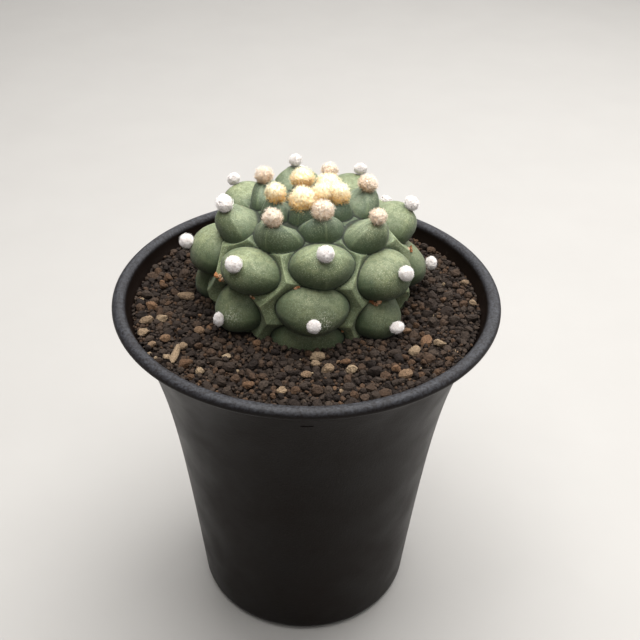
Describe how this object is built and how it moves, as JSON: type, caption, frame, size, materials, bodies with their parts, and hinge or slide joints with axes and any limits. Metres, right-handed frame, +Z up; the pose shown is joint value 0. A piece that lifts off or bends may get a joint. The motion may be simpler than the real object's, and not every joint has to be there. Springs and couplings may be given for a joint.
{
  "type": "potted round cactus",
  "caption": "Round grey-green cactus with broad tubercles tipped in wool, growing in granular soil in a tall black plastic pot with a flared, beaded rim.",
  "frame": {"origin": "centre of the pot's foot, on the surface that it stands on", "axes": "+Z up along the pot's axis, -Y towards the side that the picture shows"},
  "size_m": [0.105, 0.105, 0.1345],
  "materials": {
    "pot_plastic": "black moulded polypropylene, satin, with a fine grain",
    "gravel": "rough grey-brown drainage gravel",
    "soil_granules": "matte dark brown baked-clay and lava granules",
    "tan_granules": "matte tan pumice and clay bits scattered in the soil",
    "cactus_skin": "smooth waxy grey-green skin with a faint bluish bloom",
    "white_wool": "dense white plant wool",
    "cream_wool": "soft creamy yellow young plant wool",
    "dried_scar": "dry, papery orange-brown scar tissue"
  },
  "bodies": {
    "root": {"pot": "pot_plastic", "drainage_gravel": "gravel", "soil": "soil_granules", "cactus": "cactus_skin"}
  },
  "joints": []
}
